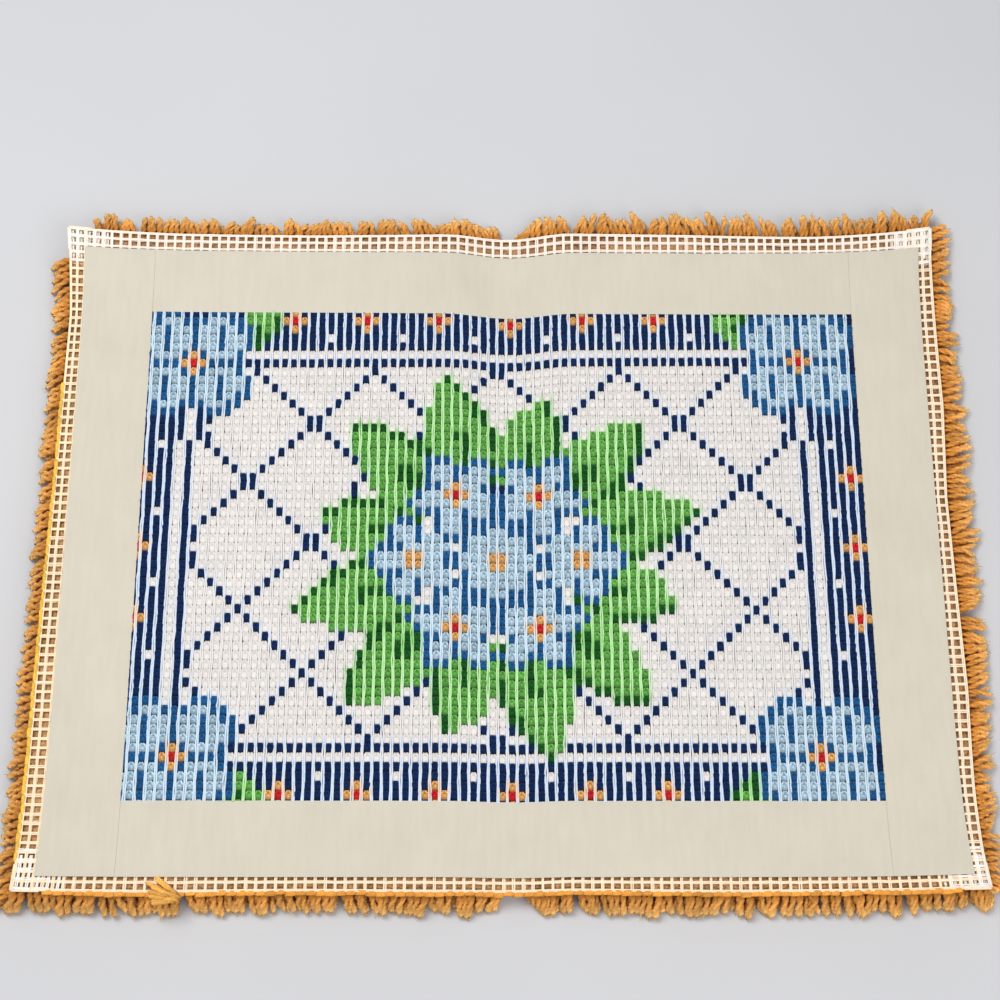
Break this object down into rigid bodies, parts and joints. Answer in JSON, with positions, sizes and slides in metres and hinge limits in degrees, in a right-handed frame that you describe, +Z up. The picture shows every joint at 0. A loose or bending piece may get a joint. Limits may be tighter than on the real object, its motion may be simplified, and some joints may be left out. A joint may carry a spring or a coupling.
{
  "type": "latch hook rug",
  "caption": "Flat latch hook rug lying pile down: shaggy yarn pile, open-mesh canvas with a folded hem, hooked field and four sewn binding strips.",
  "frame": {"origin": "on the floor, under the middle of the rug's outline", "axes": "+X along the rug's width, +Y towards its back edge, +Z up out of its finished back; the pile faces -Z"},
  "size_m": [0.6989, 0.5402, 0.0221],
  "materials": {
    "pile_yarn": "cut golden brown rug yarn, twisted, dull",
    "canvas": "stiff double-thread cotton mesh, off-white",
    "knot_yarn": "hooked rug yarn in white, blues, greens, red and orange",
    "binding": "smooth cream cotton binding"
  },
  "bodies": {
    "root": {"pile": "pile_yarn", "canvas": "canvas", "knot_backs": "knot_yarn", "binding_left": "binding", "binding_right": "binding", "binding_front": "binding", "binding_back": "binding"}
  },
  "joints": []
}
